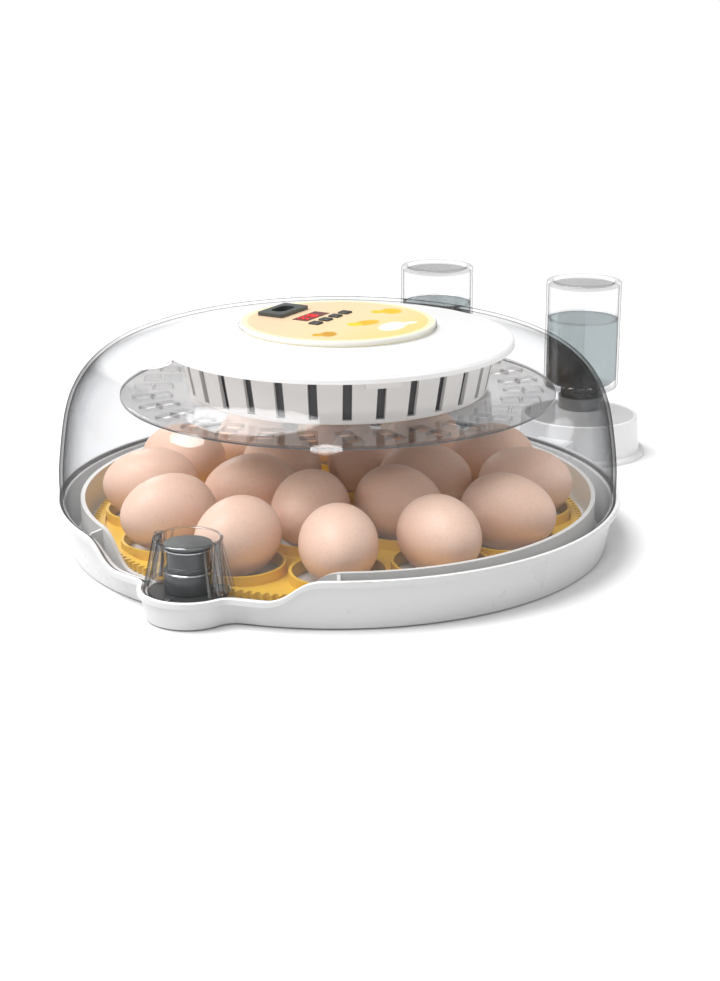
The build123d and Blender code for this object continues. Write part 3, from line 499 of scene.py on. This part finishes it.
def egg_ring(name, node, circle, count, start):
    """A ring of eggs that lie in the turner's pockets, each a little different."""
    laid = []
    for index in range(count):
        angle = math.radians(start) + math.tau * index / count
        size = egg_draw.uniform(0.945, 0.972)
        roll = egg_draw.uniform(0, math.tau)
        swing = math.radians(egg_draw.uniform(-7, 7))
        tilt = math.radians(egg_draw.uniform(-3, 3))
        drop = EGG_WIDTH / 2 * (1 - size)
        move = (
            Matrix.Rotation(angle, 4, "Z")
            @ Matrix.Translation((circle, 0, EGG_MIDDLE - drop))
            @ Matrix.Rotation(swing, 4, "Z")
            @ Matrix.Rotation(tilt, 4, "Y")
            @ Matrix.Rotation(roll, 4, "X")
            @ Matrix.Scale(size, 4)
        )
        laid.append(turned_copy(first_egg, move))
    ring = settle(joined(laid), name, "eggs", eggshell, 80.0)
    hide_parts(node)


egg_ring("outer_eggs", "eggs_outer_ring", 0.107, 12, 0.0)
egg_ring("inner_eggs", "eggs_inner_ring", 0.051, 6, 12.0)
bpy.data.objects.remove(first_egg)

# ---- dome details -------------------------------------------------------------------------------

gear_low, gear_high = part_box("gearbox")
motor_middle = (gear_low + gear_high) / 2 * 1000
MOTOR_X = -math.hypot(motor_middle.x, motor_middle.y)
DRIVE_TURN = math.atan2(-motor_middle.y, -motor_middle.x)
RIM_TOP = 28.5
DIP_DEPTH = 12.0
DIP_OUTER = 74.0
DIP_INNER = 44.0
DOME_EDGE_RADIUS = 156.5
BUBBLE_EDGE_RADIUS = 22.9
DOME_EDGE_STEPS = 240
BUBBLE_EDGE_STEPS = 48
EDGE_DROP = 1.3
EDGE_BEAD = 0.00055
HALVINGS = 30


def on_drive(piece):
    """Turns a piece that was made with the motor on the -X axis to where the motor stands."""
    piece.data.transform(Matrix.Rotation(DRIVE_TURN, 4, "Z"))
    return piece


def rim_height(x, y):
    """Height of the tray's rim in millimetres: it dips on the motor's side."""
    side = abs(y)
    if x > 0 or side >= DIP_OUTER:
        return RIM_TOP
    if side <= DIP_INNER:
        return RIM_TOP - DIP_DEPTH
    middle = (DIP_INNER + DIP_OUTER) / 2
    low, high = 0.0, 1.0
    for _ in range(HALVINGS):
        t = (low + high) / 2
        s = 1 - t
        reached = DIP_OUTER * s**3 + 3 * middle * s * t + DIP_INNER * t**3
        low, high = (t, high) if reached > side else (low, t)
    return RIM_TOP - DIP_DEPTH * (3 * t**2 * (1 - t) + t**3)


def edge_route():
    """Points in millimetres along the dome's lower edge, round the lid and the motor bubble."""
    meet_x = (DOME_EDGE_RADIUS**2 - BUBBLE_EDGE_RADIUS**2 + MOTOR_X**2) / (2 * MOTOR_X)
    meet_y = math.sqrt(DOME_EDGE_RADIUS**2 - meet_x**2)
    start = math.atan2(meet_y, meet_x)
    route = []
    for step in range(DOME_EDGE_STEPS + 1):
        angle = start - (2 * start) * step / DOME_EDGE_STEPS
        route.append((DOME_EDGE_RADIUS * math.cos(angle), DOME_EDGE_RADIUS * math.sin(angle)))
    bubble = math.atan2(meet_y, meet_x - MOTOR_X)
    for step in range(1, BUBBLE_EDGE_STEPS):
        angle = -bubble - (math.tau - 2 * bubble) * step / BUBBLE_EDGE_STEPS
        route.append((MOTOR_X + BUBBLE_EDGE_RADIUS * math.cos(angle), BUBBLE_EDGE_RADIUS * math.sin(angle)))
    return [(x, y, rim_height(x, y) - EDGE_DROP) for x, y in route]


# a dark bead along the dome's lower edge, painted shade where the clear edge meets the rim
bpy.ops.object.select_all(action="DESELECT")
bpy.ops.curve.primitive_bezier_circle_add(radius=0.1, location=(0, 0, 0))
dome_bead = bpy.context.object
dome_bead.data.splines.clear()
bead_line = dome_bead.data.splines.new("POLY")
bead_points = edge_route()
bead_line.points.add(len(bead_points) - 1)
for point, (x, y, z) in zip(bead_line.points, bead_points):
    point.co = (x / 1000, y / 1000, z / 1000, 1)
bead_line.use_cyclic_u = True
dome_bead.data.dimensions = "3D"
dome_bead.data.bevel_depth = EDGE_BEAD
dome_bead.data.bevel_resolution = 2
alone(dome_bead)
bpy.ops.object.convert(target="MESH")
settle(on_drive(bpy.context.object), "dome_edge_shade_bead", "lid", painted_edge_shade, 60.0)

plate_low, plate_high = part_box("air_guide_plate")
plate_reach = plate_high.x * 1000
plate_under = plate_low.z * 1000
# a dark bead round the plate's rim, painted shade along its clear edge
plate_bead = lathe([(plate_reach - 0.30, plate_under + 0.1), (plate_reach - 0.05, plate_under + 0.1),
                    (plate_reach - 0.02, plate_under + 0.5), (plate_reach - 0.05, plate_under + 0.9),
                    (plate_reach - 0.30, plate_under + 0.9)], (0, 0), 160)
settle(plate_bead, "plate_edge_shade_bead", "lid", painted_edge_shade, 50.0)

# two hollow screw posts stand on the bubble's flanks, each between a pair of fins
POST_REACH = 17.6
POST_PROFILE = [(4.6, 17.0), (2.7, 41.6), (2.5, 42.2), (1.5, 42.2), (1.4, 39.0), (3.2, 17.0)]
posts = []
for side in (-1, 1):
    posts.append(lathe(POST_PROFILE, (MOTOR_X, side * POST_REACH), 32))
settle(on_drive(joined(posts)), "bubble_screw_posts", "lid", flute_clear, 50.0)

screws = []
for side in (-1, 1):
    screws.append(lathe([(0.02, 38.2), (0.02, 40.2), (0.8, 40.6), (1.3, 40.0), (1.3, 38.2)],
                        (MOTOR_X, side * POST_REACH), 24))
settle(on_drive(joined(screws)), "bubble_screws", "lid", neck_plastic, 40.0)

# upright flutes round the bubble
FLUTE_ANGLES = [62, 76, 90, 104, 118]
FLUTE_RADIUS = 0.0011
FLUTE_HEIGHT = 0.0255
FLUTE_MIDDLE = 0.0290
FLUTE_FOOT = 0.014
BUBBLE_HEIGHT = 0.0284
FLUTE_REACH = 0.0226
FLUTE_LEAN = 0.0060
flutes = []
for side in (-1, 1):
    for flute_angle in FLUTE_ANGLES:
        bpy.ops.object.select_all(action="DESELECT")
        bpy.ops.mesh.primitive_cylinder_add(vertices=10, radius=FLUTE_RADIUS, depth=FLUTE_HEIGHT,
                                            location=(0, 0, FLUTE_MIDDLE))
        flute = bpy.context.object
        bpy.ops.object.transform_apply(location=True, rotation=True, scale=True)
        alone(flute)
        bpy.ops.object.mode_set(mode="EDIT")
        bpy.ops.mesh.select_all(action="DESELECT")
        bpy.ops.object.mode_set(mode="OBJECT")
        for corner in flute.data.vertices:
            corner.select = corner.co.z > FLUTE_MIDDLE
        for face in flute.data.polygons:
            face.select = face.normal.z > 0.9
        bpy.ops.object.mode_set(mode="EDIT")
        bpy.ops.transform.resize(value=(0.55, 0.55, 1.0))
        bpy.ops.mesh.bevel(offset=0.0003, segments=2)
        bpy.ops.object.mode_set(mode="OBJECT")
        for corner in flute.data.vertices:
            rise = (corner.co.z - FLUTE_FOOT) / BUBBLE_HEIGHT
            corner.co.x += FLUTE_REACH - FLUTE_LEAN * rise
        turn = math.radians(side * flute_angle + 180)
        flute.data.transform(Matrix.Translation((MOTOR_X / 1000, 0, 0)) @ Matrix.Rotation(turn, 4, "Z"))
        flutes.append(flute)
settle(on_drive(joined(flutes)), "bubble_flutes", "lid", flute_clear, 50.0)

bubble_rim = lathe([(17.7, 41.2), (17.9, 41.8), (17.4, 42.3), (16.6, 42.35), (16.2, 41.9), (16.9, 41.3)],
                   (MOTOR_X, 0))
settle(on_drive(bubble_rim), "bubble_rim", "lid", flute_clear, 60.0)

# ---- motor details ------------------------------------------------------------------------------

seam = lathe([(11.6, 24.4), (12.5, 24.5), (12.75, 24.9), (12.75, 25.5), (12.4, 25.8), (11.2, 25.9),
              (11.2, 24.6)], (MOTOR_X, 0))
settle(on_drive(seam), "motor_seam_ring", "tray", steel)
collar = lathe([(11.05, 25.95), (11.9, 25.95), (11.8, 26.7), (11.3, 27.4), (11.3, 28.4), (11.05, 28.6)],
               (MOTOR_X, 0))
settle(on_drive(collar), "motor_collar", "tray", motor_lacquer)
cap_disc = lathe([(0.05, 39.25), (0.05, 39.5), (11.6, 39.5), (12.3, 39.3), (12.5, 38.8), (12.4, 38.3),
                  (12.25, 38.3), (12.25, 39.25)], (MOTOR_X, 0))
settle(on_drive(cap_disc), "motor_cap_disc", "tray", cap_lacquer)
top_ring = lathe([(11.05, 36.7), (12.1, 36.7), (12.6, 37.0), (12.6, 37.5), (12.1, 37.8), (11.05, 37.8)],
                 (MOTOR_X, 0))
settle(on_drive(top_ring), "motor_top_ring", "tray", steel)

# ---- panel details ------------------------------------------------------------------------------

DIGIT_TOP = 0.12535
SEGMENT_LONG = 0.0029
SEGMENT_WIDE = 0.0007
SEGMENT_PLACES = {
    "a": (0, 1, True),
    "b": (0.5, 0.5, False),
    "c": (0.5, -0.5, False),
    "d": (0, -1, True),
    "e": (-0.5, -0.5, False),
    "f": (-0.5, 0.5, False),
    "g": (0, 0, True),
}
LIT = {0: "abcdef", 3: "abcdg", 7: "abc", 8: "abcdefg"}


def segment(x, y, level):
    """One lit bar of a digit, a flat bar with bevelled ends."""
    bpy.ops.object.select_all(action="DESELECT")
    bpy.ops.mesh.primitive_cube_add(size=1.0, location=(x, y, DIGIT_TOP - 0.00015))
    bar = bpy.context.object
    long, wide = SEGMENT_LONG * 0.84, SEGMENT_WIDE
    bar.scale = (long, wide, 0.0003) if level else (wide, long, 0.0003)
    bpy.ops.object.transform_apply(location=True, rotation=True, scale=True)
    bpy.ops.object.mode_set(mode="EDIT")
    bpy.ops.mesh.select_all(action="DESELECT")
    bpy.ops.mesh.select_mode(type="EDGE")
    bpy.ops.object.mode_set(mode="OBJECT")
    for edge in bar.data.edges:
        ends = [bar.data.vertices[index].co for index in edge.vertices]
        edge.select = abs(ends[0].z - ends[1].z) > 0.0001
    bpy.ops.object.mode_set(mode="EDIT")
    bpy.ops.mesh.bevel(offset=SEGMENT_WIDE * 0.42, segments=1)
    bpy.ops.object.mode_set(mode="OBJECT")
    return bar


window_low, window_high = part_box("display_window")
digit_y = (window_low.y + window_high.y) / 2
bars = []
for index, digit in enumerate((3, 7, 8)):
    digit_x = window_low.x + 0.0042 + 0.0052 * index
    for key in LIT[digit]:
        shift_x, shift_y, level = SEGMENT_PLACES[key]
        bars.append(segment(digit_x + shift_x * SEGMENT_LONG, digit_y + shift_y * SEGMENT_LONG, level))
bars.append(segment(window_low.x + 0.0042 + 0.0078, digit_y - SEGMENT_LONG, False))
settle(joined(bars), "display_digits", "lid", digit_glow, 30.0)

panel_trim = lathe([(53.6, 124.6), (53.9, 124.95), (54.3, 124.9), (54.62, 124.4), (54.62, 122.6),
                    (54.2, 122.4)], (0, 0), 128)
settle(panel_trim, "panel_trim_ring", "lid", trim_plastic, 50.0)

# a dark sheet behind the hub's slots, painted shade for the hub's dark inside
slot_shade_sheet = lathe([(80.3, 89.4), (80.6, 89.4), (84.6, 111.4), (84.3, 111.4)], (0, 0), 128)
settle(slot_shade_sheet, "hub_slot_shade_sheet", "lid", hub_slot_shade, 50.0)

# ---- cover details ------------------------------------------------------------------------------

FACETS = 24
FACET_INNER = 57.5
FACET_OUTER = 97.2
FACET_RINGS = (FACET_INNER, 70.0, 84.0, FACET_OUTER)
FACET_TURN = 0.3


def facet_height(radius):
    """Height in millimetres of the top cover's slope at a radius."""
    return 121.3 - (radius - 55.0) / (97.7 - 55.0) * 5.6


bpy.ops.object.select_all(action="DESELECT")
bpy.ops.mesh.primitive_circle_add(vertices=FACETS * 8, radius=FACET_INNER / 1000, fill_type="NOTHING",
                                  location=(0, 0, facet_height(FACET_INNER) / 1000))
facets = bpy.context.object
bpy.ops.object.transform_apply(location=True, rotation=True, scale=True)
bpy.ops.object.mode_set(mode="EDIT")
for inner_radius, outer_radius in zip(FACET_RINGS, FACET_RINGS[1:]):
    bpy.ops.mesh.select_all(action="DESELECT")
    bpy.ops.object.mode_set(mode="OBJECT")
    for edge in facets.data.edges:
        ends = [facets.data.vertices[index].co for index in edge.vertices]
        edge.select = all(abs(math.hypot(end.x, end.y) * 1000 - inner_radius) < 0.05 for end in ends)
    bpy.ops.object.mode_set(mode="EDIT")
    bpy.ops.mesh.extrude_edges_move()
    share = outer_radius / inner_radius
    bpy.ops.transform.resize(value=(share, share, 1.0), center_override=(0, 0, 0))
bpy.ops.object.mode_set(mode="OBJECT")
# each panel of the cover is slightly crowned, with a faint crease to the next
for corner in facets.data.vertices:
    radius = math.hypot(corner.co.x, corner.co.y) * 1000
    angle = math.atan2(corner.co.y, corner.co.x)
    wave = abs(((angle / math.tau * FACETS + FACET_TURN) % 1.0) - 0.5) * 2
    crown = 0.10 + 0.30 * (1 - wave**3) * math.sin(math.pi * (radius - 50.0) / 56.0)
    corner.co.z = (facet_height(radius) + crown) / 1000
thicken = facets.modifiers.new("thicken", "SOLIDIFY")
thicken.thickness = 0.0002
thicken.offset = -1
alone(facets)
bpy.ops.object.mode_set(mode="EDIT")
bpy.ops.mesh.select_all(action="SELECT")
bpy.ops.mesh.normals_make_consistent(inside=False)
bpy.ops.object.mode_set(mode="OBJECT")
if facets.data.polygons[0].normal.z < 0:
    facets.data.flip_normals()
bpy.ops.object.modifier_apply(modifier="thicken")
settle(facets, "cover_facets", "lid", cover_plastic, 8.0)

# ---- bottle details -----------------------------------------------------------------------------

BOTTLE_X = 226.5
BOTTLE_Y = 53.3
THREAD_HEIGHTS = (38.6, 40.2, 41.8)

for side, y in (("front", -BOTTLE_Y), ("back", BOTTLE_Y)):
    body = side + "_bottle"
    meniscus = lathe([(21.2, 89.5), (22.2, 89.9), (22.7, 90.8), (22.84, 90.8), (22.84, 89.0), (21.2, 89.0)],
                     (BOTTLE_X, y))
    settle(meniscus, side + "_meniscus", body, bottle_clear, 60.0)
    threads = []
    for height in THREAD_HEIGHTS:
        threads.append(lathe([(11.9, height - 0.5), (12.9, height - 0.2), (12.9, height + 0.2),
                              (11.9, height + 0.5)], (BOTTLE_X, y), 64))
    settle(joined(threads), side + "_neck_threads", body, bottle_clear, 50.0)

# ---- floor --------------------------------------------------------------------------------------

bpy.ops.object.select_all(action="DESELECT")
bpy.ops.mesh.primitive_plane_add(size=FLOOR_SIZE, location=(0, 0, 0))
floor = bpy.context.object
floor.name = "floor"
bpy.ops.object.transform_apply(location=True, rotation=True, scale=True)
dress(floor, moulded("floor_paper", (0.90, 0.90, 0.90), (0.92, 0.92, 0.92), 0.9))
